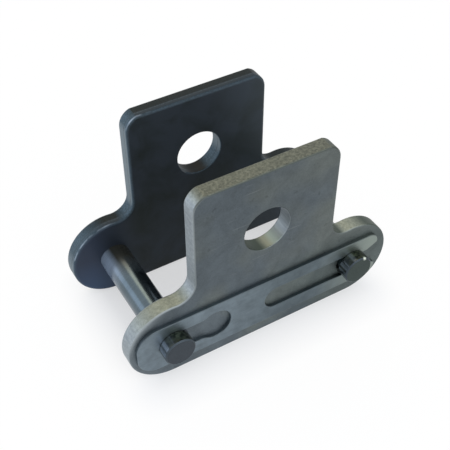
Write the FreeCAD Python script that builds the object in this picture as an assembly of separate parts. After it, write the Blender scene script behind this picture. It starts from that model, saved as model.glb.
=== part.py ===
import FreeCAD, Part
import math
import os

# Connecting link of a double-pitch conveyor roller chain with upright attachments.
# Two pins are riveted into the rear plate. The front plate slips over them, and a flat spring
# clip sits in a groove of each pin and keeps the front plate on. The tab of each plate has one
# bolt hole.
#
# Frame: X runs along the chain, Y from the front plate to the rear plate, Z up. The link stands
# on the straight lower edges of its plates at Z = 0. The origin is the centre of its footprint.
# All sizes are in millimetres.

# Chain sizes
PITCH = 38.1
PIN_DIAMETER = 5.94
PLATE_THICKNESS = 3.2
PLATE_HEIGHT = 16.9
PLATE_GAP = 20.4

# Attachment tabs
TAB_WIDTH = 28.4
TAB_TOP_ABOVE_PINS = 30.6
TAB_CORNER_RADIUS = 3.2
TAB_CORNER_CREASE = 18.0
TAB_ROOT_RADIUS = 3.5
BOLT_HOLE_DIAMETER = 9.1
BOLT_HOLE_ABOVE_PINS = 17.75

# Rounded edges of the stamped plates. The rear plate is softer along its inner face.
PLATE_EDGE_RADIUS = 0.4
REAR_INNER_EDGE_RADIUS = 0.6
BOLT_HOLE_EDGE_RADIUS = 0.25

# Fit of the front plate on the pins
COVER_CLEARANCE = 0.04
BORE_LEAD_IN = 0.3

# Groove and head at the front end of a pin
NECK_DIAMETER = 4.6
NECK_RUNBACK = 0.1
HEAD_LENGTH = 2.3
HEAD_CHAMFER = 0.25

# Riveted rear end of a pin
RIVET_DIAMETER = 6.9
RIVET_HEIGHT = 1.3
RIVET_ROUNDING = 0.9
RIVET_DISH_DIAMETER = 3.4
RIVET_DISH_DEPTH = 0.2

# Spring clip
CLIP_THICKNESS = 0.7
CLIP_HEIGHT = 10.4
CLIP_PLAY = 0.1
CLIP_CLOSED_REACH = 7.2
CLIP_CLOSED_CORNER_RADIUS = 4.2
CLIP_OPEN_REACH = 5.8
CLIP_OPEN_CORNER_RADIUS = 2.0
CLIP_EDGE_RADIUS = 0.15
SEAT_CLEARANCE = 0.05
KEYHOLE_CLEARANCE = 0.2
KEYHOLE_TRAVEL = 8.3
KEYHOLE_BLEND_RADIUS = 3.0
SLIT_WIDTH = 4.8
WEB_LENGTH = 7.2
THROAT_WIDTH = 3.2
THROAT_LENGTH = 3.5
MOUTH_HALF_ANGLE = 28.0
JAW_TIP_RADIUS = 0.3

# Radii that the fits share
pin_radius = PIN_DIAMETER / 2
neck_radius = NECK_DIAMETER / 2
cover_bore_radius = pin_radius + COVER_CLEARANCE
seat_radius = neck_radius + SEAT_CLEARANCE
keyhole_radius = pin_radius + KEYHOLE_CLEARANCE
plate_end_radius = PLATE_HEIGHT / 2

# Stations along Y, from the front ends of the pins to their riveted rear ends
head_reach = CLIP_THICKNESS + CLIP_PLAY + HEAD_LENGTH
overall_width = head_reach + 2 * PLATE_THICKNESS + PLATE_GAP + RIVET_HEIGHT
y_pin_front = -overall_width / 2
y_front_face = y_pin_front + head_reach
y_front_inner = y_front_face + PLATE_THICKNESS
y_rear_inner = y_front_inner + PLATE_GAP
y_rear_face = y_rear_inner + PLATE_THICKNESS
y_pin_rear = y_rear_face + RIVET_HEIGHT

# Places along X and Z
x_left_pin = -PITCH / 2
x_right_pin = PITCH / 2
x_throat = x_right_pin + THROAT_LENGTH
z_pins = plate_end_radius
z_bolt_hole = z_pins + BOLT_HOLE_ABOVE_PINS
z_tab_top = z_pins + TAB_TOP_ABOVE_PINS

ALONG_Y = FreeCAD.Vector(0, 1, 0)
NEAR = 1e-4


def point(x, y, z):
    return FreeCAD.Vector(x, y, z)


def line(start, end):
    return Part.makeLine(start, end)


def arc(start, middle, end):
    return Part.Arc(start, middle, end).toShape()


def arc_point(centre, radius, degrees):
    """Point on a circle that faces Y, with the angle counted from +X towards +Z."""
    angle = math.radians(degrees)
    return centre + FreeCAD.Vector(radius * math.cos(angle), 0, radius * math.sin(angle))


def cylinder_along_y(radius, x, z, y_start, y_end):
    return Part.makeCylinder(radius, y_end - y_start, point(x, y_start, z), ALONG_Y)


def block(x_start, x_end, y_start, y_end, z_start, z_end):
    corner = point(x_start, y_start, z_start)
    return Part.makeBox(x_end - x_start, y_end - y_start, z_end - z_start, corner)


def plate_outline(y):
    """Closed outline of a plate: round ends, hollow shoulders and an upright tab."""
    half_tab = TAB_WIDTH / 2
    # The shoulder arc touches the round end from outside and runs into the side of the tab.
    shoulder_x = half_tab + TAB_ROOT_RADIUS
    reach = plate_end_radius + TAB_ROOT_RADIUS
    shoulder_z = z_pins + math.sqrt(reach**2 - (x_right_pin - shoulder_x)**2)
    lean = math.degrees(math.atan2(shoulder_z - z_pins, shoulder_x - x_right_pin))

    end_centre = point(x_right_pin, y, z_pins)
    shoulder_centre = point(shoulder_x, y, shoulder_z)
    # The corner arc touches the side of the tab and meets its sheared top at a slight crease.
    corner_rise = TAB_CORNER_RADIUS * math.cos(math.radians(TAB_CORNER_CREASE))
    corner_centre = point(half_tab - TAB_CORNER_RADIUS, y, z_tab_top - corner_rise)
    corner_sweep = 90 - TAB_CORNER_CREASE

    bottom_middle = point(0, y, 0)
    end_start = arc_point(end_centre, plate_end_radius, -90)
    end_stop = arc_point(end_centre, plate_end_radius, lean)
    end_middle = arc_point(end_centre, plate_end_radius, (lean - 90) / 2)
    shoulder_stop = arc_point(shoulder_centre, TAB_ROOT_RADIUS, 180)
    shoulder_middle = arc_point(shoulder_centre, TAB_ROOT_RADIUS, lean / 2 + 180)
    corner_start = arc_point(corner_centre, TAB_CORNER_RADIUS, 0)
    corner_middle = arc_point(corner_centre, TAB_CORNER_RADIUS, corner_sweep / 2)
    corner_stop = arc_point(corner_centre, TAB_CORNER_RADIUS, corner_sweep)
    top_middle = point(0, y, z_tab_top)

    right_half = [
        line(bottom_middle, end_start),
        arc(end_start, end_middle, end_stop),
        arc(end_stop, shoulder_middle, shoulder_stop),
        line(shoulder_stop, corner_start),
        arc(corner_start, corner_middle, corner_stop),
        line(corner_stop, top_middle),
    ]
    left_half = [edge.mirror(point(0, 0, 0), FreeCAD.Vector(1, 0, 0)) for edge in right_half]
    return Part.Wire(Part.__sortEdges__(right_half + left_half))


def edges_in_plane(shape, y):
    """Edges of a shape that lie wholly in the plane at y."""
    flat = [edge for edge in shape.Edges if edge.BoundBox.YLength < NEAR]
    return [edge for edge in flat if abs(edge.BoundBox.YMin - y) < NEAR]


def make_plate(y_start, y_end, start_edge_radius, bore_radius):
    """Stamped attachment plate with rounded edges, two pin bores and one bolt hole."""
    plate = Part.Face(plate_outline(y_start)).extrude(point(0, y_end - y_start, 0))
    plate = plate.makeFillet(start_edge_radius, edges_in_plane(plate, y_start))
    plate = plate.makeFillet(PLATE_EDGE_RADIUS, edges_in_plane(plate, y_end))

    bolt_hole = cylinder_along_y(BOLT_HOLE_DIAMETER / 2, 0, z_bolt_hole, y_start, y_end)
    plate = plate.cut(bolt_hole)
    hole_rims = []
    for edge in edges_in_plane(plate, y_start) + edges_in_plane(plate, y_end):
        if isinstance(edge.Curve, Part.Circle) and abs(edge.Curve.Center.z - z_bolt_hole) < NEAR:
            hole_rims.append(edge)
    plate = plate.makeFillet(BOLT_HOLE_EDGE_RADIUS, hole_rims)

    for x in (x_left_pin, x_right_pin):
        plate = plate.cut(cylinder_along_y(bore_radius, x, z_pins, y_start, y_end))
    return plate


def make_rear_plate():
    return make_plate(y_rear_inner, y_rear_face, REAR_INNER_EDGE_RADIUS, pin_radius)


def make_front_plate():
    """Cover plate: slips over the pins, so its bores have clearance and a lead-in inside."""
    plate = make_plate(y_front_face, y_front_inner, PLATE_EDGE_RADIUS, cover_bore_radius)
    mouth_radius = cover_bore_radius + BORE_LEAD_IN
    for x in (x_left_pin, x_right_pin):
        base = point(x, y_front_inner - BORE_LEAD_IN, z_pins)
        lead_in = Part.makeCone(cover_bore_radius, mouth_radius, BORE_LEAD_IN, base, ALONG_Y)
        plate = plate.cut(lead_in)
    return plate


def make_pin(x):
    """Turned pin: head, groove, shank and a riveted button with a shallow dish."""
    y_neck_front = y_front_face - CLIP_THICKNESS - CLIP_PLAY
    y_neck_back = y_front_face + NECK_RUNBACK
    rivet_radius = RIVET_DIAMETER / 2
    y_rivet_side = y_pin_rear - RIVET_ROUNDING
    rounding_centre = point(rivet_radius - RIVET_ROUNDING, y_rivet_side, 0)
    diagonal = RIVET_ROUNDING / math.sqrt(2)
    rounding_middle = rounding_centre + FreeCAD.Vector(diagonal, diagonal, 0)
    rounding_stop = point(rivet_radius - RIVET_ROUNDING, y_pin_rear, 0)

    corners = [
        point(0, y_pin_front, 0),
        point(pin_radius - HEAD_CHAMFER, y_pin_front, 0),
        point(pin_radius, y_pin_front + HEAD_CHAMFER, 0),
        point(pin_radius, y_neck_front, 0),
        point(neck_radius, y_neck_front, 0),
        point(neck_radius, y_neck_back, 0),
        point(pin_radius, y_neck_back, 0),
        point(pin_radius, y_rear_face, 0),
        point(rivet_radius, y_rear_face, 0),
        point(rivet_radius, y_rivet_side, 0),
    ]
    profile = [line(start, end) for start, end in zip(corners, corners[1:])]
    profile.append(arc(corners[-1], rounding_middle, rounding_stop))
    rear_centre = point(0, y_pin_rear, 0)
    profile.append(line(rounding_stop, rear_centre))
    profile.append(line(rear_centre, corners[0]))
    pin = Part.Face(Part.Wire(profile)).revolve(point(0, 0, 0), ALONG_Y, 360)

    dish_radius = RIVET_DISH_DIAMETER / 2
    ball_radius = (dish_radius**2 + RIVET_DISH_DEPTH**2) / (2 * RIVET_DISH_DEPTH)
    ball_centre = point(0, y_pin_rear + ball_radius - RIVET_DISH_DEPTH, 0)
    pin = pin.cut(Part.makeSphere(ball_radius, ball_centre, ALONG_Y))
    pin.translate(FreeCAD.Vector(x, 0, z_pins))
    return pin


def edges_along_y(shape):
    """Straight edges along Y, each with its X and its height above or below the pins."""
    found = []
    for edge in shape.Edges:
        box = edge.BoundBox
        if box.XLength < NEAR and box.ZLength < NEAR:
            found.append((edge, box.XMin, abs(box.ZMin - z_pins)))
    return found


def corners_at(shape, x, half_height):
    """The edges along Y at x that lie half_height above and below the pins."""
    found = []
    for edge, edge_x, height in edges_along_y(shape):
        if abs(edge_x - x) < NEAR and abs(height - half_height) < NEAR:
            found.append(edge)
    return found


def strip(x_start, x_end, half_height, y_start, y_end):
    """Straight bar along X, centred at the height of the pins."""
    return block(x_start, x_end, y_start, y_end, z_pins - half_height, z_pins + half_height)


def half_mouth(x):
    """Half the height of the clip's mouth at x, right of its throat."""
    widening = math.tan(math.radians(MOUTH_HALF_ANGLE))
    return THROAT_WIDTH / 2 + (x - x_throat) * widening


def mouth_cutter(x_out, y_start, y_end):
    """Wedge that opens the clip's throat outwards, so that it can be pushed over a pin."""
    corners = [
        point(x_throat, y_start, z_pins - half_mouth(x_throat)),
        point(x_out, y_start, z_pins - half_mouth(x_out)),
        point(x_out, y_start, z_pins + half_mouth(x_out)),
        point(x_throat, y_start, z_pins + half_mouth(x_throat)),
    ]
    wedge = Part.Face(Part.makePolygon(corners + corners[:1]))
    return wedge.extrude(point(0, y_end - y_start, 0))


def jaw_tips(clip):
    """The sharp edges where the mouth meets the outside of the clip."""
    found = []
    for edge, x, height in edges_along_y(clip):
        if x > x_throat + NEAR and abs(height - half_mouth(x)) < NEAR:
            found.append(edge)
    return found


def make_spring_clip():
    """Flat clip: a keyhole at the left pin, a slit, a seat and an open mouth at the right pin."""
    y_back = y_front_face
    y_front = y_back - CLIP_THICKNESS
    half_height = CLIP_HEIGHT / 2
    x_start = x_left_pin - CLIP_CLOSED_REACH
    x_end = x_right_pin + CLIP_OPEN_REACH
    clip = strip(x_start, x_end, half_height, y_front, y_back)
    clip = clip.makeFillet(CLIP_CLOSED_CORNER_RADIUS, corners_at(clip, x_start, half_height))
    clip = clip.makeFillet(CLIP_OPEN_CORNER_RADIUS, corners_at(clip, x_end, half_height))

    x_keyhole = x_left_pin + KEYHOLE_TRAVEL
    left_seat = cylinder_along_y(seat_radius, x_left_pin, z_pins, y_front, y_back)
    channel = strip(x_left_pin, x_keyhole, seat_radius, y_front, y_back)
    keyhole = cylinder_along_y(keyhole_radius, x_keyhole, z_pins, y_front, y_back)
    clip = clip.cut(left_seat.fuse([channel, keyhole]).removeSplitter())
    x_blend = x_keyhole - math.sqrt(keyhole_radius**2 - seat_radius**2)
    clip = clip.makeFillet(KEYHOLE_BLEND_RADIUS, corners_at(clip, x_blend, seat_radius))

    half_slit = SLIT_WIDTH / 2
    x_slit_end = x_keyhole + keyhole_radius + WEB_LENGTH + half_slit
    slit_end = cylinder_along_y(half_slit, x_slit_end, z_pins, y_front, y_back)
    slit = strip(x_slit_end, x_right_pin, half_slit, y_front, y_back)
    right_seat = cylinder_along_y(seat_radius, x_right_pin, z_pins, y_front, y_back)
    throat = strip(x_right_pin, x_throat, THROAT_WIDTH / 2, y_front, y_back)
    mouth = mouth_cutter(x_end, y_front, y_back)
    opening = slit_end.fuse([slit, right_seat, throat, mouth]).removeSplitter()
    clip = clip.cut(opening)
    clip = clip.makeFillet(JAW_TIP_RADIUS, jaw_tips(clip))
    return clip.makeFillet(CLIP_EDGE_RADIUS, edges_in_plane(clip, y_front))


def main():
    os.makedirs("parts", exist_ok=True)
    pieces = {
        "rear_plate": make_rear_plate(),
        "left_pin": make_pin(x_left_pin),
        "right_pin": make_pin(x_right_pin),
        "front_plate": make_front_plate(),
        "spring_clip": make_spring_clip(),
    }
    for name, shape in pieces.items():
        solid = shape.Solids[0]
        solid.exportStep("parts/" + name + ".step")
        print(name, len(shape.Solids), shape.isValid(), round(solid.Volume, 3))


main()
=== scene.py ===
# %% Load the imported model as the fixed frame
import math

import bpy
from mathutils import Matrix, Vector

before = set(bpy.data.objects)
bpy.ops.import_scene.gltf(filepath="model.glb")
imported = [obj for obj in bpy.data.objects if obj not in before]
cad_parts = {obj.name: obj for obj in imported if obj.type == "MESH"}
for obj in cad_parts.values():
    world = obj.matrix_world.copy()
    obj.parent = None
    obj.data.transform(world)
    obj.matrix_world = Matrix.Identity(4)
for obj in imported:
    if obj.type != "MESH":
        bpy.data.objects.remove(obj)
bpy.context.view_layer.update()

print("pieces of the frame:", sorted(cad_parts))

# %% [markdown]
# The object is the connecting link of a roller chain: two stamped plates with upright tabs, two
# pins and a flat spring clip. The frame gives all five pieces at their real size, in metres, with
# X along the chain, Y from the front plate to the rear plate and Z up. Sizes below are written in
# millimetres and turned to metres once, so that they can be compared with a drawing.

# %% Units and the few sizes that the scene needs
MM = 0.001
PITCH = 38.1
PIN_HEIGHT = 8.45


def metres(*sizes):
    """Sizes in millimetres, as a vector in metres."""
    return Vector(sizes) * MM


# %% [markdown]
# The camera stands where the photograph was taken: to the left, in front and well above the link.
# Its direction is given as azimuth and elevation, as with a studio tripod, and a roll of a seventh
# of a degree levels it. Its place and its lens were fitted until the outlines, holes and pin heads
# of the model lay on those in the photograph, so that the perspective is the same too.

# %% Camera at the photograph's viewing angle
CAMERA_PLACE = (-58.901, -98.71, 128.596)
CAMERA_AZIMUTH = -30.360
CAMERA_ELEVATION = 44.207
CAMERA_ROLL = -0.148
CAMERA_LENS = 69.164
SENSOR_WIDTH = 36
NEAREST = 5
FARTHEST = 50000


def turned(degrees, axis):
    """A turn about one axis, as a matrix."""
    return Matrix.Rotation(math.radians(degrees), 4, axis)


camera = bpy.data.objects.new("camera", bpy.data.cameras.new("camera"))
bpy.context.scene.collection.objects.link(camera)
camera.data.lens = CAMERA_LENS
camera.data.sensor_width = SENSOR_WIDTH
camera.data.clip_start = NEAREST * MM
camera.data.clip_end = FARTHEST * MM
aim = turned(CAMERA_AZIMUTH, "Z") @ turned(90 - CAMERA_ELEVATION, "X") @ turned(CAMERA_ROLL, "Z")
camera.matrix_world = Matrix.Translation(metres(*CAMERA_PLACE)) @ aim
bpy.context.scene.camera = camera
bpy.context.scene.view_settings.view_transform = "Standard"
print("camera distance in mm:", round(camera.location.length / MM, 1))

# %% [markdown]
# Every material below is a small graph of nodes. One function adds a node, sets its values and
# joins its inputs, so each graph reads as a list of steps. An input may be given a plain value,
# or an earlier node, which becomes a link from that node's first open output.
#
# Colours are written as screen codes, as a colour picker shows them. A shader counts light instead,
# so a second function turns each code to light values.

# %% One function that adds a node, one that reads a colour and one that starts a material
# Settings that many nodes share: product of numbers, mix and product of colours, mix of numbers
TIMES = {"operation": "MULTIPLY"}
TINT = {"data_type": "RGBA"}
SHADE = {"data_type": "RGBA", "blend_type": "MULTIPLY"}
NUMBERS = {"data_type": "FLOAT"}


def add(tree, kind, settings=None, **inputs):
    """Adds a node. Its inputs are named by their sockets, or i0, i1 and so on by their place."""
    node = tree.nodes.new("ShaderNode" + kind)
    for name, value in (settings or {}).items():
        setattr(node, name, value)
    for name, value in inputs.items():
        if name[1:].isdigit():
            socket = node.inputs[int(name[1:])]
        else:
            title = name.replace("_", " ")
            socket = next(s for s in node.inputs if s.enabled and s.name == title)
        if isinstance(value, bpy.types.Node):
            value = next(s for s in value.outputs if s.enabled)
        if isinstance(value, bpy.types.NodeSocket):
            tree.links.new(value, socket)
        else:
            socket.default_value = value
    return node


def linear(code):
    """Colour code such as #7f8488, turned from screen values to the light values of a shader."""
    values = [int(code[start:start + 2], 16) / 255 for start in (1, 3, 5)]
    light = [v / 12.92 if v <= 0.04045 else ((v + 0.055) / 1.055) ** 2.4 for v in values]
    return (*light, 1.0)


def empty_material(name):
    """A material with an empty graph, ready for its nodes."""
    material = bpy.data.materials.new(name)
    material.use_nodes = True
    material.node_tree.nodes.clear()
    return material, material.node_tree


print("a screen grey of #808080 gives back", round(linear("#808080")[0], 3), "of the light")

# %% [markdown]
# The photograph was taken in a white room, which gives the even part of the light. A world of one
# colour could do that alone, but the Light Path node tells its rays apart: the camera sees pure
# white and metal mirrors it, while matte surfaces get a light that is a little cooler.

# %% The white room
ROOM_STRENGTH = 1.0


def sees_studio(tree):
    """One for rays that show the studio itself: camera rays, mirrored rays and rays let through."""
    rays = add(tree, "LightPath").outputs
    direct = add(tree, "Math", {"operation": "MAXIMUM"}, i0=rays["Is Camera Ray"],
                 i1=rays["Is Glossy Ray"])
    return add(tree, "Math", {"operation": "MAXIMUM"}, i0=direct, i1=rays["Is Transmission Ray"])


world = bpy.data.worlds.new("studio")
bpy.context.scene.world = world
world.use_nodes = True
sky = world.node_tree
sky.nodes.clear()
room = add(sky, "Background", Color=linear("#f4f8ff"), Strength=ROOM_STRENGTH)
white = add(sky, "Background", Color=linear("#ffffff"), Strength=1.0)
shown = add(sky, "MixShader", i0=sees_studio(sky), i1=room, i2=white)
add(sky, "OutputWorld", Surface=shown)
print(world.name, "has", len(sky.nodes), "nodes")

# %% [markdown]
# The link stands on white paper. Plain matte paper would come out grey in this light, and more
# light would wash out the colours of the link, so the paper gets a glow that only the camera and
# mirroring surfaces see. Where it glows, a shadow shows less. The glow is therefore weak under the
# link and grows from just inside its outline outwards: the shadow stays close to the link, and the
# rest of the paper is as white as in the photograph.

# %% The paper
FLOOR_SIZE = 3000
PAPER_GLOW = 0.5
PAPER_GLOW_FAR = 0.95
SHADOW_HALF = (22, 13, 0)
SHADOW_FADE = 9

floor_mesh = bpy.data.meshes.new("floor")
half = FLOOR_SIZE / 2 * MM
floor_mesh.from_pydata([(-half, -half, 0), (half, -half, 0), (half, half, 0), (-half, half, 0)],
                       [], [(0, 1, 2, 3)])
floor = bpy.data.objects.new("floor", floor_mesh)
bpy.context.scene.collection.objects.link(floor)
paper, tree = empty_material("matte white paper")
spread = add(tree, "TexCoord").outputs["Object"]
spread = add(tree, "VectorMath", {"operation": "ABSOLUTE"}, i0=spread)
spread = add(tree, "VectorMath", {"operation": "SUBTRACT"}, i0=spread, i1=metres(*SHADOW_HALF))
spread = add(tree, "VectorMath", {"operation": "MAXIMUM"}, i0=spread, i1=(0, 0, 0))
spread = add(tree, "VectorMath", {"operation": "LENGTH"}, i0=spread).outputs["Value"]
spread = add(tree, "MapRange", Value=spread, From_Max=SHADOW_FADE * MM, To_Min=PAPER_GLOW,
             To_Max=PAPER_GLOW_FAR)
glow = add(tree, "Math", TIMES, i0=sees_studio(tree), i1=spread)
matte = add(tree, "BsdfDiffuse", Color=linear("#eeeeee"))
bright = add(tree, "Emission", Color=linear("#ffffff"), Strength=1.0)
sheet = add(tree, "MixShader", i0=glow, i1=matte, i2=bright)
add(tree, "OutputMaterial", Surface=sheet)
floor_mesh.materials.append(paper)
print(paper.name, "is", FLOOR_SIZE, "mm wide")

# %% [markdown]
# Three soft lamps model the form: a warm light overhead and behind, which brightens the tops of the
# plates, cooler daylight from the left, and a broad light from the front, which softens the shadow.
# An area lamp gives soft light because it is large next to the link. Each is turned by a quaternion
# that tracks the link, which saves working out three angles.

# %% The lamps


def softbox(name, place, size, power, colour):
    """Rectangular lamp of a power in watts, which looks at the link from a place in mm."""
    light = bpy.data.lights.new(name, "AREA")
    light.shape = "RECTANGLE"
    light.size, light.size_y = size[0] * MM, size[1] * MM
    light.energy = power
    light.color = linear(colour)[:3]
    stand = bpy.data.objects.new(name, light)
    bpy.context.scene.collection.objects.link(stand)
    stand.location = metres(*place)
    stand.rotation_mode = "QUATERNION"
    stand.rotation_quaternion = (-stand.location).to_track_quat("-Z", "Y")
    print(name, "stands", round(stand.location.length / MM), "mm away")


softbox("overhead_light", (75, 330, 420), (250, 320), 0.45, "#ffe9bd")
softbox("left_window", (-520, 120, 170), (700, 300), 0.7, "#dfeaff")
softbox("front_fill", (120, -380, 420), (500, 400), 0.8, "#ffffff")

# %% [markdown]
# All patterns are laid out in real millimetres. Object coordinates are metres here, because the
# frame's objects stand at the origin, so one Vector Math node turns them to millimetres, and a
# grain of 0.3 mm is then a noise with a scale of 1 / 0.3.
#
# A stamped plate shows three kinds of surface: the rolled flat faces, the sheared walls and the
# rounded rims between them. They are told apart by how far the surface turns away from Y: on a
# flat face the normal lies along Y, on a wall it lies across it. The limits in the graphs below
# are of three kinds: places on the link in millimetres, parts of the normal from -1 to 1, and
# values of a noise, which lie mostly between 0.3 and 0.7. Map Range makes a soft mask of each.

# %% Places in millimetres, masks for walls and rims, and distances from an axis
HOLE_HEIGHT = 26.2
HOLE_ZONE = 5.2


def measured(tree):
    """Object coordinates in millimetres, their three parts, and the parts of the normal."""
    source = add(tree, "TexCoord").outputs
    place = add(tree, "VectorMath", {"operation": "SCALE"}, i0=source["Object"], Scale=1 / MM)
    return place, add(tree, "SeparateXYZ", i0=place).outputs, \
        add(tree, "SeparateXYZ", i0=source["Normal"]).outputs


def wall_and_rim(tree, turn):
    """How much of a point is wall, and how much is rounded rim, from 0 to 1."""
    # The Y part of the normal is 1 on a face, 0 on a wall and between the two on a rim
    along = add(tree, "Math", {"operation": "ABSOLUTE"}, i0=turn["Y"])
    wall = add(tree, "MapRange", {"interpolation_type": "SMOOTHSTEP"}, Value=along,
               From_Min=0.85, From_Max=0.4)
    off_face = add(tree, "MapRange", Value=along, From_Min=0.99, From_Max=0.85)
    off_wall = add(tree, "MapRange", Value=along, From_Min=0.15, From_Max=0.5)
    return wall, add(tree, "Math", TIMES, i0=off_face, i1=off_wall)


def from_axis(tree, aside, above):
    """Distance from an axis along Y, from the distances beside it and above it."""
    across = add(tree, "CombineXYZ", X=aside, Y=above)
    return add(tree, "VectorMath", {"operation": "LENGTH"}, i0=across).outputs["Value"]


def in_bolt_hole(tree, spot):
    """One on the wall and rims of the bolt hole, which both plates have alike, else zero."""
    above = add(tree, "Math", {"operation": "SUBTRACT"}, i0=spot["Z"], i1=HOLE_HEIGHT)
    away = from_axis(tree, spot["X"], above)
    return add(tree, "Math", {"operation": "LESS_THAN"}, i0=away, i1=HOLE_ZONE)


def finished(material, height, strength, depth, **surface):
    """Ends a graph with a bump, its depth in millimetres, the metal's shader and the output."""
    tree = material.node_tree
    bump = add(tree, "Bump", Strength=strength, Distance=depth * MM, Height=height)
    shader = add(tree, "BsdfPrincipled", Normal=bump, **surface)
    add(tree, "OutputMaterial", Surface=shader)
    print(material.name, "has", len(tree.nodes), "nodes")


# %% [markdown]
# The front plate is mild steel, tumbled with stones after stamping and left matte grey. Tumbling
# leaves a fine, even grain with cloudy patches, a few dark pits and thin scratches.
#
# Noises of different sizes do this. Clouds of several millimetres tint the face between a cool
# grey and a warm one, a little warmer to the right. A fourth dimension picks the set of clouds that
# lies best. A grain gives the matte look, and a stretched noise that is cut off near its top leaves
# only thin streaks, the scratches. A real grain is about a tenth of a millimetre. It is drawn at
# 0.3 mm, because a finer one wouldn't show in the picture.

# %% Front plate: clouds, grain, pits and scratches of its faces
GRAIN = 0.3
WARMER_PER_MM = 0.008
STREAK_SLANT = 0.5

grey_steel, tree = empty_material("tumbled grey mild steel")
place, spot, turn = measured(tree)
wall, rim = wall_and_rim(tree, turn)
patch = add(tree, "TexNoise", {"noise_dimensions": "4D"}, Vector=place, W=1.0, Scale=1 / 12,
            Detail=2.0)
patch = add(tree, "Math", {"operation": "MULTIPLY_ADD"}, i0=spot["X"], i1=WARMER_PER_MM,
            i2=patch)
patch = add(tree, "MapRange", Value=patch, From_Min=0.4, From_Max=0.6)
face = add(tree, "Mix", TINT, Factor=patch, A=linear("#5e676d"), B=linear("#6a7170"))
cloud = add(tree, "TexNoise", Vector=place, Scale=1 / 4, Detail=5.0, Roughness=0.6, Distortion=0.7)
shade = add(tree, "MapRange", Value=cloud, From_Min=0.3, From_Max=0.7, To_Min=0.8, To_Max=1.12)
grain = add(tree, "TexNoise", Vector=place, Scale=1 / GRAIN, Detail=3.0, Roughness=0.65)
fine = add(tree, "MapRange", Value=grain, From_Min=0.3, From_Max=0.7, To_Min=0.9, To_Max=1.08)
shade = add(tree, "Math", TIMES, i0=shade, i1=fine)
pit = add(tree, "TexNoise", Vector=place, Scale=1 / 1.1, Detail=2.0)
pit = add(tree, "MapRange", Value=pit, From_Min=0.66, From_Max=0.74, To_Min=1.0, To_Max=0.82)
shade = add(tree, "Math", TIMES, i0=shade, i1=pit)
# Painted light: the face is painted lighter towards the bottom, as the paper in front lights it
painted_floor_light = add(tree, "MapRange", Value=spot["Z"], From_Min=36, From_Max=12, To_Min=0.95, To_Max=1.08)
shade = add(tree, "Math", TIMES, i0=shade, i1=painted_floor_light)
face = add(tree, "Mix", SHADE, Factor=1.0, A=face, B=shade)
slanted = add(tree, "Mapping", Vector=place, Rotation=(0, STREAK_SLANT, 0), Scale=(0.05, 1, 1))
scratch = add(tree, "TexNoise", Vector=slanted, Scale=1 / 0.35, Detail=2.0)
scratch = add(tree, "MapRange", Value=scratch, From_Min=0.68, From_Max=0.74, To_Max=0.2)
face = add(tree, "Mix", TINT, Factor=scratch, A=face, B=linear("#9aa1a3"))
print("the face of the front plate takes", len(tree.nodes), "nodes")

# %% [markdown]
# Behind the clip the face is painted lighter to the left and darker to the right, a painted light
# and shade, and towards the left round end it is lighter still, most of all above the pin. A
# painted mask could show this, but a distance from the pin that is worked out from the
# coordinates stays in place if the plate's mesh changes.

# %% Front plate: painted light and shade behind the clip, lighter round the left end
CLIP_TOP = 13
SWEEP_FADE = 5

# Painted light and shade: behind the clip the face is painted lighter to the left, darker to the
# right
behind = add(tree, "MapRange", Value=spot["Z"], From_Min=CLIP_TOP + SWEEP_FADE, From_Max=CLIP_TOP)
painted_sweep = add(tree, "MapRange", Value=spot["X"], From_Min=-10, From_Max=12)
painted_sweep = add(tree, "Mix", TINT, Factor=painted_sweep, A=(1.17, 1.17, 1.17, 1), B=(0.74, 0.79, 0.8, 1))
face = add(tree, "Mix", SHADE, Factor=behind, A=face, B=painted_sweep)
beyond = add(tree, "Math", {"operation": "SUBTRACT"}, i0=-PITCH / 2, i1=spot["X"])
beyond = add(tree, "Math", {"operation": "MAXIMUM"}, i0=beyond, i1=0.0)
over = add(tree, "Math", {"operation": "SUBTRACT"}, i0=spot["Z"], i1=PIN_HEIGHT)
past = add(tree, "MapRange", Value=beyond, From_Min=0.0, From_Max=4.0)
edge = add(tree, "MapRange", Value=from_axis(tree, beyond, over), From_Min=6.6, From_Max=8.0,
           To_Max=0.8)
edge = add(tree, "Math", TIMES, i0=edge, i1=past)
raised = add(tree, "MapRange", Value=spot["Z"], From_Min=8.5, From_Max=12.5, To_Min=0.2)
edge = add(tree, "Math", TIMES, i0=edge, i1=raised)
face = add(tree, "Mix", TINT, Factor=edge, A=face, B=linear("#8e979c"))
print("with its wear it takes", len(tree.nodes), "nodes")

# %% [markdown]
# The walls were sheared by the press. They are lighter than the faces and mottled, with fine lines
# through the thickness where the metal dragged along the die. The wall of the bolt hole is told
# apart by its distance from the hole's axis and is smooth. Walls that face right and up, and the
# lower left of the bore, are painted darker, a painted shade, and one band right of the bottom of
# the bore is painted light, a painted highlight.

# %% Front plate: sheared walls and the bore
BORE_LEAN = 0.22
GLINT_TURN = -0.42
GLINT_HALF = 0.25

bored = in_bolt_hole(tree, spot)
drawn = add(tree, "Mapping", Vector=place, Scale=(1, 0.1, 1))
lines = add(tree, "TexNoise", Vector=drawn, Scale=1 / 0.35, Detail=3.0)
lines = add(tree, "MapRange", Value=lines, From_Min=0.3, From_Max=0.7)
sheared = add(tree, "Mix", TINT, Factor=lines, A=linear("#8f989f"), B=linear("#a0a9ad"))
speck = add(tree, "TexNoise", Vector=place, Scale=1 / 0.5, Detail=4.0, Roughness=0.7)
speck = add(tree, "MapRange", Value=speck, From_Min=0.35, From_Max=0.65)
speck = add(tree, "Mix", NUMBERS, Factor=bored, A=speck, B=0.25)
dull = add(tree, "MapRange", Value=speck, To_Min=0.86, To_Max=1.12)
sheared = add(tree, "Mix", SHADE, Factor=1.0, A=sheared, B=dull)
mottled = add(tree, "Mix", TINT, Factor=speck, A=linear("#787e75"), B=linear("#93998f"))
facing_up = add(tree, "MapRange", Value=turn["Z"], From_Min=0.5, From_Max=0.95)
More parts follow.
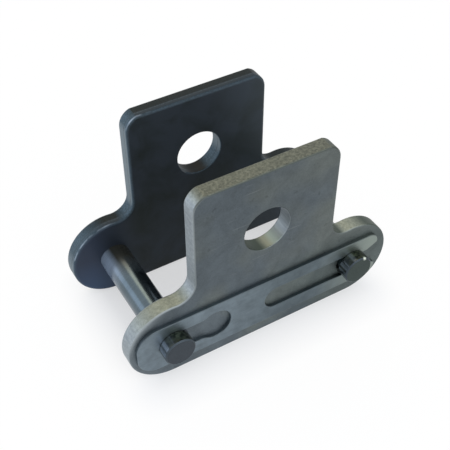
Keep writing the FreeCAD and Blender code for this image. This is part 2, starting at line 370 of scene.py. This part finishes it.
sheared = add(tree, "Mix", TINT, Factor=facing_up, A=sheared, B=mottled)
# Painted shade: walls that face right and up, and the lower left of the bore, are painted darker
lifted = add(tree, "MapRange", Value=turn["Z"], From_Min=0.1, From_Max=0.4)
leaning = add(tree, "Math", {"operation": "MULTIPLY_ADD"}, i0=bored, i1=BORE_LEAN, i2=turn["X"])
painted_shade = add(tree, "MapRange", Value=leaning, From_Min=0.1, From_Max=0.4)
painted_shade = add(tree, "Math", TIMES, i0=painted_shade, i1=lifted)
sheared = add(tree, "Mix", TINT, Factor=painted_shade, A=sheared, B=linear("#4d5650"))
# Painted highlight: one band right of the bottom of the bore is painted light
glint = add(tree, "Math", {"operation": "ADD"}, i0=turn["X"], i1=-GLINT_TURN)
glint = add(tree, "Math", {"operation": "ABSOLUTE"}, i0=glint)
glint = add(tree, "MapRange", Value=glint, From_Min=GLINT_HALF, From_Max=0.05, To_Max=0.45)
glint = add(tree, "Math", TIMES, i0=glint, i1=bored)
glint = add(tree, "Math", TIMES, i0=glint, i1=lifted)
sheared = add(tree, "Mix", TINT, Factor=glint, A=sheared, B=linear("#a4b6b2"))
print("with its walls it takes", len(tree.nodes), "nodes")

# %% [markdown]
# The top of the tab didn't shear clean: it broke away rough, in warm and dark specks. Its rims are
# painted dark there, a painted shade, while the rims at the left end are painted lighter, partly
# tumbled bright and partly a painted highlight. The specks drive the bump at the torn top and the
# grain drives it elsewhere, so both also catch light. Bare steel is fully metallic, and the
# roughness of about a half, a little cloudy, is what makes it matte.

# %% Front plate: torn top, rims and shader
TORN_ABOVE = 36

level = add(tree, "MapRange", Value=turn["Z"], From_Min=0.75, From_Max=0.98)
high = add(tree, "Math", {"operation": "GREATER_THAN"}, i0=spot["Z"], i1=TORN_ABOVE)
torn = add(tree, "Math", TIMES, i0=level, i1=high)
broken = add(tree, "Mix", TINT, Factor=speck, A=linear("#4e524d"), B=linear("#72766d"))
colour = add(tree, "Mix", TINT, Factor=wall, A=face, B=sheared)
# Painted highlight as well as wear: the rims at the left end, high up, are painted lighter
worn = add(tree, "MapRange", Value=spot["X"], From_Min=-10, From_Max=-13, To_Max=0.55)
worn = add(tree, "Math", TIMES, i0=worn, i1=rim)
worn = add(tree, "Math", TIMES, i0=worn, i1=raised)
colour = add(tree, "Mix", TINT, Factor=worn, A=colour, B=linear("#9da5a8"))
# Painted shade: the rims along the torn top are painted dark
painted_dark_rim = add(tree, "MapRange", Value=turn["Z"], From_Min=0.1, From_Max=0.5, To_Max=0.8)
painted_dark_rim = add(tree, "Math", TIMES, i0=painted_dark_rim, i1=rim)
painted_dark_rim = add(tree, "Math", TIMES, i0=painted_dark_rim, i1=high)
colour = add(tree, "Mix", TINT, Factor=painted_dark_rim, A=colour, B=linear("#4c524e"))
colour = add(tree, "Mix", TINT, Factor=torn, A=colour, B=broken)
height = add(tree, "Mix", NUMBERS, Factor=torn, A=grain, B=speck)
rough = add(tree, "MapRange", Value=cloud, To_Min=0.48, To_Max=0.6)
finished(grey_steel, height, strength=0.5, depth=0.02, Base_Color=colour, Metallic=1.0,
         Roughness=rough)

# %% [markdown]
# The rear plate has the same shape but was blued: a black oxide grown on the steel, then oiled.
# The eye sees a near-black with a soft sheen, whose tone wanders between green-black and blue, as
# such films do. The film is thinner and greyer towards the right. The left end is painted bluer,
# most of all low down, a painted reflection of the bluish shade on the paper. One cloudy noise
# does the wandering, and Map Range over X and Z does the rest.

# %% Rear plate: the oxide film on its faces
blued_steel, tree = empty_material("blued and oiled mild steel")
place, spot, turn = measured(tree)
wall, rim = wall_and_rim(tree, turn)
cloud = add(tree, "TexNoise", Vector=place, Scale=1 / 8, Detail=5.0, Roughness=0.55, Distortion=0.5)
film = add(tree, "MapRange", Value=cloud, From_Min=0.38, From_Max=0.62)
face = add(tree, "Mix", TINT, Factor=film, A=linear("#272d2d"), B=linear("#323940"))
thin = add(tree, "MapRange", Value=spot["X"], From_Min=2, From_Max=14, To_Max=0.3)
face = add(tree, "Mix", TINT, Factor=thin, A=face, B=linear("#4a545c"))
# Painted reflection: the left end, most of all low down, is painted bluer
end = add(tree, "MapRange", Value=spot["X"], From_Min=-13, From_Max=-24)
deep = add(tree, "MapRange", Value=spot["Z"], From_Min=10, From_Max=3)
blue = add(tree, "Mix", TINT, Factor=deep, A=linear("#394150"), B=linear("#415169"))
face = add(tree, "Mix", TINT, Factor=end, A=face, B=blue)
print("the face of the rear plate takes", len(tree.nodes), "nodes")

# %% [markdown]
# Its walls are sheared too, and here the steps of the cut show: a burnished band next to the inner
# face, then a thin ridge where the cut turned into a break, then the rough break itself. They lie
# at fixed places through the thickness, so the Y coordinate draws them. The ridge is painted
# lighter, partly its own colour and partly a painted highlight. The walls that face left are
# painted lighter and bluer, a painted light, and the floor of the bolt hole is painted black, a
# painted shade.

# %% Rear plate: sheared walls, painted light on the left and the painted dark floor of the bolt hole
BAND_END = 12.25
BREAK_START = 12.6
RIDGE_HALF = 0.12

grain = add(tree, "TexNoise", Vector=place, Scale=1 / GRAIN, Detail=3.0, Roughness=0.65)
dust = add(tree, "MapRange", Value=grain, From_Min=0.35, From_Max=0.65)
broken = add(tree, "Mix", TINT, Factor=dust, A=linear("#060f11"), B=linear("#142023"))
back = add(tree, "MapRange", Value=spot["Y"], From_Min=BAND_END, From_Max=BREAK_START)
cut = add(tree, "Mix", TINT, Factor=back, A=linear("#222c33"), B=broken)
# Painted light: walls that face left are painted lighter and bluer, the steepest ones lightest
left = add(tree, "MapRange", Value=turn["X"], From_Min=-0.1, From_Max=-0.7)
painted_left_light = add(tree, "Mix", TINT, Factor=dust, A=linear("#36464e"), B=linear("#4c5d69"))
painted_left_sheen = add(tree, "MapRange", Value=turn["X"], From_Min=-0.9, From_Max=-1.0, To_Max=0.75)
painted_left_light = add(tree, "Mix", TINT, Factor=painted_left_sheen, A=painted_left_light, B=linear("#6e7a7f"))
cut = add(tree, "Mix", TINT, Factor=left, A=cut, B=painted_left_light)
# Partly a painted highlight: the ridge line is painted lighter
ridge = add(tree, "Math", {"operation": "COMPARE"}, i0=spot["Y"], i1=BAND_END, i2=RIDGE_HALF)
ridge = add(tree, "Math", TIMES, i0=ridge, i1=dust)
cut = add(tree, "Mix", TINT, Factor=ridge, A=cut, B=linear("#3a444a"))
bored = in_bolt_hole(tree, spot)
# Painted shade: the floor of the bolt hole, where it faces up, is painted black
painted_pit_shade = add(tree, "MapRange", Value=turn["Z"], From_Min=0.8, From_Max=0.92, To_Max=0.9)
inward = add(tree, "MapRange", Value=turn["X"], From_Min=-0.5, From_Max=-0.2)
painted_pit_shade = add(tree, "Math", TIMES, i0=painted_pit_shade, i1=inward)
painted_pit_shade = add(tree, "Math", TIMES, i0=painted_pit_shade, i1=bored)
cut = add(tree, "Mix", TINT, Factor=painted_pit_shade, A=cut, B=linear("#04090a"))
colour = add(tree, "Mix", TINT, Factor=wall, A=face, B=cut)
print("with its walls it takes", len(tree.nodes), "nodes")

# %% [markdown]
# Rubbing has thinned the film on the rims, and it is chipped where a bolt went through the hole.
# One bright line on the upper rims at the left end and at the tab's left corner is a painted
# highlight. It is picked by the direction of the surface, so it stays as thin as the rounded rim
# itself.
#
# The oxide is nearly black and no longer a bare metal, so the shader is half metallic on the faces
# and hardly at all on the walls, and the oil keeps it smoother than the front plate.

# %% Rear plate: rubbed rims, a painted highlight and shader
HIGHLIGHT_TURN = -0.42
HIGHLIGHT_HALF = 0.2

rubbed = add(tree, "MapRange", Value=grain, From_Min=0.35, From_Max=0.7, To_Min=0.1, To_Max=0.8)
rubbed = add(tree, "Math", TIMES, i0=rubbed, i1=rim)
colour = add(tree, "Mix", TINT, Factor=rubbed, A=colour, B=linear("#3e4e58"))
# Painted highlight: a bright line on the upper rims at the left end and the tab's left corner
bright = add(tree, "TexNoise", Vector=place, Scale=1 / 3, Detail=3.0)
bright = add(tree, "MapRange", Value=bright, From_Min=0.35, From_Max=0.6, To_Max=0.85)
upper = add(tree, "MapRange", Value=turn["Z"], From_Max=0.3)
bright = add(tree, "Math", TIMES, i0=bright, i1=upper)
tip = add(tree, "MapRange", Value=spot["X"], From_Min=-17, From_Max=-25)
corner = add(tree, "MapRange", Value=spot["X"], From_Min=-9, From_Max=-12)
top = add(tree, "MapRange", Value=spot["Z"], From_Min=32, From_Max=36)
corner = add(tree, "Math", TIMES, i0=corner, i1=top)
tip = add(tree, "Math", {"operation": "MAXIMUM"}, i0=tip, i1=corner)
bright = add(tree, "Math", TIMES, i0=bright, i1=tip)
highlight_turn = add(tree, "Math", {"operation": "COMPARE"}, i0=turn["Y"], i1=HIGHLIGHT_TURN, i2=HIGHLIGHT_HALF)
bright = add(tree, "Math", TIMES, i0=bright, i1=highlight_turn)
colour = add(tree, "Mix", TINT, Factor=bright, A=colour, B=linear("#a3afbc"))
chip = add(tree, "TexNoise", Vector=place, Scale=1 / 1.6, Detail=2.0)
chip = add(tree, "MapRange", Value=chip, From_Min=0.55, From_Max=0.7, To_Max=0.6)
chip = add(tree, "Math", TIMES, i0=chip, i1=rim)
chip = add(tree, "Math", TIMES, i0=chip, i1=bored)
colour = add(tree, "Mix", TINT, Factor=chip, A=colour, B=linear("#6a6c6e"))
metal = add(tree, "MapRange", Value=wall, To_Min=0.5, To_Max=0.1)
rough = add(tree, "MapRange", Value=cloud, From_Min=0.3, From_Max=0.7, To_Min=0.42, To_Max=0.54)
finished(blued_steel, grain, strength=0.3, depth=0.01, Base_Color=colour, Metallic=metal,
         Roughness=rough, Specular_IOR_Level=0.15)

# %% [markdown]
# The pins are case-hardened steel. Their sides were ground round and their ends were cut off on a
# lathe, and both leave very fine rings. The sides are the smoothest surface here and mirror the
# studio in stripes along the pin. A noise in one dimension draws the rings: over Y it rings the
# shank, over the distance from the pin's axis it rings an end. Real grinding marks are a few
# hundredths of a millimetre wide. They are drawn at 0.2 mm, so that the picture shows a trace. The
# right pin is a little darker than the left one, which Map Range over X gives.

# %% Pins: rings and stains
RING = 0.2
END_RING = 0.25
# Both pins lie further than this from the middle of the link
MIDDLE = 10

pin_steel, tree = empty_material("ground hardened steel")
place, spot, turn = measured(tree)
wall, rim = wall_and_rim(tree, turn)
rings = add(tree, "TexNoise", {"noise_dimensions": "1D"}, W=spot["Y"], Scale=1 / RING,
            Detail=3.0)
aside = add(tree, "Math", {"operation": "ABSOLUTE"}, i0=spot["X"])
aside = add(tree, "Math", {"operation": "SUBTRACT"}, i0=aside, i1=PITCH / 2)
above = add(tree, "Math", {"operation": "SUBTRACT"}, i0=spot["Z"], i1=PIN_HEIGHT)
turning = add(tree, "TexNoise", {"noise_dimensions": "1D"}, W=from_axis(tree, aside, above),
              Scale=1 / END_RING, Detail=2.0)
marks = add(tree, "Mix", NUMBERS, Factor=wall, A=turning, B=rings)
stain = add(tree, "TexNoise", Vector=place, Scale=1 / 2.5, Detail=4.0, Roughness=0.6)
shade = add(tree, "Math", {"operation": "ADD"}, i0=marks, i1=stain)
shade = add(tree, "MapRange", Value=shade, From_Min=0.7, From_Max=1.3, To_Min=0.86, To_Max=1.1)
dimmed = add(tree, "MapRange", Value=spot["X"], From_Min=-MIDDLE, From_Max=MIDDLE, To_Min=1.0,
             To_Max=0.85)
shade = add(tree, "Math", TIMES, i0=shade, i1=dimmed)
print("the rings and stains of the pins take", len(tree.nodes), "nodes")

# %% [markdown]
# Hardening left an olive heat tarnish on the side of each head, scuffed in streaks along the pin.
# The light streaks lie only on the side that faces left, so they are partly scuffs and partly a
# painted highlight. Near the rear plate the shank is painted lighter on its left side and dark on
# its right, a painted light and shade, and there the shader turns less metallic, so it mirrors
# less. The ends weren't ground and stayed dark from the heat.

# %% Pins: tarnished heads, painted light on the shank and dark ends
HEAD_START = -13.25
ROOT_FADE_START = 2.5
ROOT_FADE_END = 8.0

head = add(tree, "Math", {"operation": "LESS_THAN"}, i0=spot["Y"], i1=HEAD_START)
around = add(tree, "Math", {"operation": "ARCTAN2"}, i0=above, i1=aside)
streak = add(tree, "TexNoise", {"noise_dimensions": "1D"}, W=around, Scale=2.5, Detail=2.0)
streak = add(tree, "MapRange", Value=streak, From_Min=0.45, From_Max=0.6, To_Min=0.15, To_Max=1.0)
# Painted highlight as well as scuffs: the streaks are painted light only where the head faces left
scuffs_and_highlight = add(tree, "MapRange", Value=turn["X"], From_Min=-0.1, From_Max=-0.6)
scuffs_and_highlight = add(tree, "Math", TIMES, i0=scuffs_and_highlight, i1=streak)
burnt = add(tree, "TexNoise", Vector=place, Scale=1 / 0.7, Detail=2.0)
burnt = add(tree, "MapRange", Value=burnt, From_Min=0.4, From_Max=0.6)
burnt = add(tree, "Mix", TINT, Factor=burnt, A=linear("#313730"), B=linear("#5f6455"))
tarnish_and_highlight = add(tree, "Mix", TINT, Factor=scuffs_and_highlight, A=burnt, B=linear("#c4cddc"))
# Painted light and shade: near the rear plate the shank is painted lighter on the left, dark on the
# right
root = add(tree, "MapRange", Value=spot["Y"], From_Min=ROOT_FADE_START, From_Max=ROOT_FADE_END)
left = add(tree, "MapRange", Value=turn["X"], From_Min=-0.3, From_Max=-0.7)
painted_sides = add(tree, "Mix", TINT, Factor=left, A=linear("#33342f"), B=linear("#7c8a9a"))
ground = add(tree, "Mix", TINT, Factor=root, A=linear("#5d6a72"), B=painted_sides)
side = add(tree, "Mix", TINT, Factor=head, A=ground, B=tarnish_and_highlight)
right = add(tree, "MapRange", Value=spot["X"], From_Min=-MIDDLE, From_Max=MIDDLE)
end = add(tree, "Mix", TINT, Factor=right, A=linear("#3b4249"), B=linear("#384542"))
colour = add(tree, "Mix", TINT, Factor=wall, A=end, B=side)
metal = add(tree, "MapRange", Value=root, To_Min=1.0, To_Max=0.3)
print("with their heads and shanks they take", len(tree.nodes), "nodes")

# %% [markdown]
# A small painted highlight sits on the edge of the right head: a near-white spot round one point,
# which the distance from that point draws. The rims are lighter than the ends and duller than the
# sides, because grinding doesn't reach them.

# %% Pins: rims, a painted highlight and shader
HEAD_GLINT_PLACE = (20.2, -15.4, 11.0)
HEAD_GLINT_EDGE = 0.5
HEAD_GLINT_CORE = 0.15

colour = add(tree, "Mix", TINT, Factor=rim, A=colour, B=linear("#4b545c"))
# Painted highlight: a near-white spot on the edge of the right head
head_glint = add(tree, "VectorMath", {"operation": "DISTANCE"}, i0=place, i1=HEAD_GLINT_PLACE)
head_glint = add(tree, "MapRange", Value=head_glint.outputs["Value"], From_Min=HEAD_GLINT_EDGE, From_Max=HEAD_GLINT_CORE)
colour = add(tree, "Mix", TINT, Factor=head_glint, A=colour, B=linear("#eef6ea"))
colour = add(tree, "Mix", SHADE, Factor=1.0, A=colour, B=shade)
rough = add(tree, "MapRange", Value=marks, From_Min=0.3, From_Max=0.7, To_Min=0.2, To_Max=0.26)
rough = add(tree, "Math", {"operation": "MULTIPLY_ADD"}, i0=rim, i1=0.3, i2=rough)
finished(pin_steel, marks, strength=0.1, depth=0.002, Base_Color=colour, Metallic=metal,
         Roughness=rough)

# %% [markdown]
# The clip is cut from rolled and hardened spring strip. Rolling leaves fine lines along the strip,
# here along X, so the noise is stretched twenty-fold that way. The real lines are finer, and are
# drawn 0.3 mm wide so that they show. The clip is darker from its middle on and lighter towards
# the tips of its jaws, and tumbling has worn its rims lighter. The edges that face up are painted
# dark, a painted shade. Bare steel is fully metallic, and rolling leaves it smoother than tumbling
# does.

# %% Material of the spring clip
ROLLED_LINE = 0.3

clip_steel, tree = empty_material("rolled spring strip")
place, spot, turn = measured(tree)
rim = wall_and_rim(tree, turn)[1]
rolled = add(tree, "Mapping", Vector=place, Scale=(0.05, 1, 1))
lines = add(tree, "TexNoise", Vector=rolled, Scale=1 / ROLLED_LINE, Detail=3.0, Roughness=0.6)
lines = add(tree, "MapRange", Value=lines, From_Min=0.3, From_Max=0.7)
cloud = add(tree, "TexNoise", Vector=place, Scale=1 / 2, Detail=5.0, Roughness=0.6)
shade = add(tree, "MapRange", Value=cloud, From_Min=0.3, From_Max=0.7, To_Min=0.8, To_Max=1.14)
face = add(tree, "Mix", TINT, Factor=lines, A=linear("#6f7c84"), B=linear("#7a8790"))
face = add(tree, "Mix", SHADE, Factor=1.0, A=face, B=shade)
fade = add(tree, "MapRange", Value=spot["X"], From_Min=-10, From_Max=4)
face = add(tree, "Mix", SHADE, Factor=fade, A=face, B=linear("#cccfce"))
tips = add(tree, "MapRange", Value=spot["X"], From_Min=11, From_Max=23, To_Max=0.85)
face = add(tree, "Mix", TINT, Factor=tips, A=face, B=linear("#8e9891"))
worn = add(tree, "Math", TIMES, i0=rim, i1=0.3)
colour = add(tree, "Mix", TINT, Factor=worn, A=face, B=linear("#7f898f"))
# Painted shade: the edges that face up are painted dark
painted_shade = add(tree, "MapRange", Value=turn["Z"], From_Min=0.1, From_Max=0.5, To_Max=0.55)
colour = add(tree, "Mix", TINT, Factor=painted_shade, A=colour, B=linear("#353d41"))
rough = add(tree, "MapRange", Value=lines, To_Min=0.4, To_Max=0.5)
finished(clip_steel, lines, strength=0.3, depth=0.008, Base_Color=colour, Metallic=1.0,
         Roughness=rough)

# %% [markdown]
# Each piece of the frame is one object whose mesh stays as it is. Its slots get the finish of the
# real piece, and both pins share one material, because they are two of the same part.

# %% Give every piece of the frame its finish
finishes = {"rear_plate": blued_steel, "front_plate": grey_steel, "left_pin": pin_steel,
            "right_pin": pin_steel, "spring_clip": clip_steel}
for name, finish in finishes.items():
    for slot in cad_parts[name].material_slots:
        slot.material = finish
    print(name, "is", finish.name)
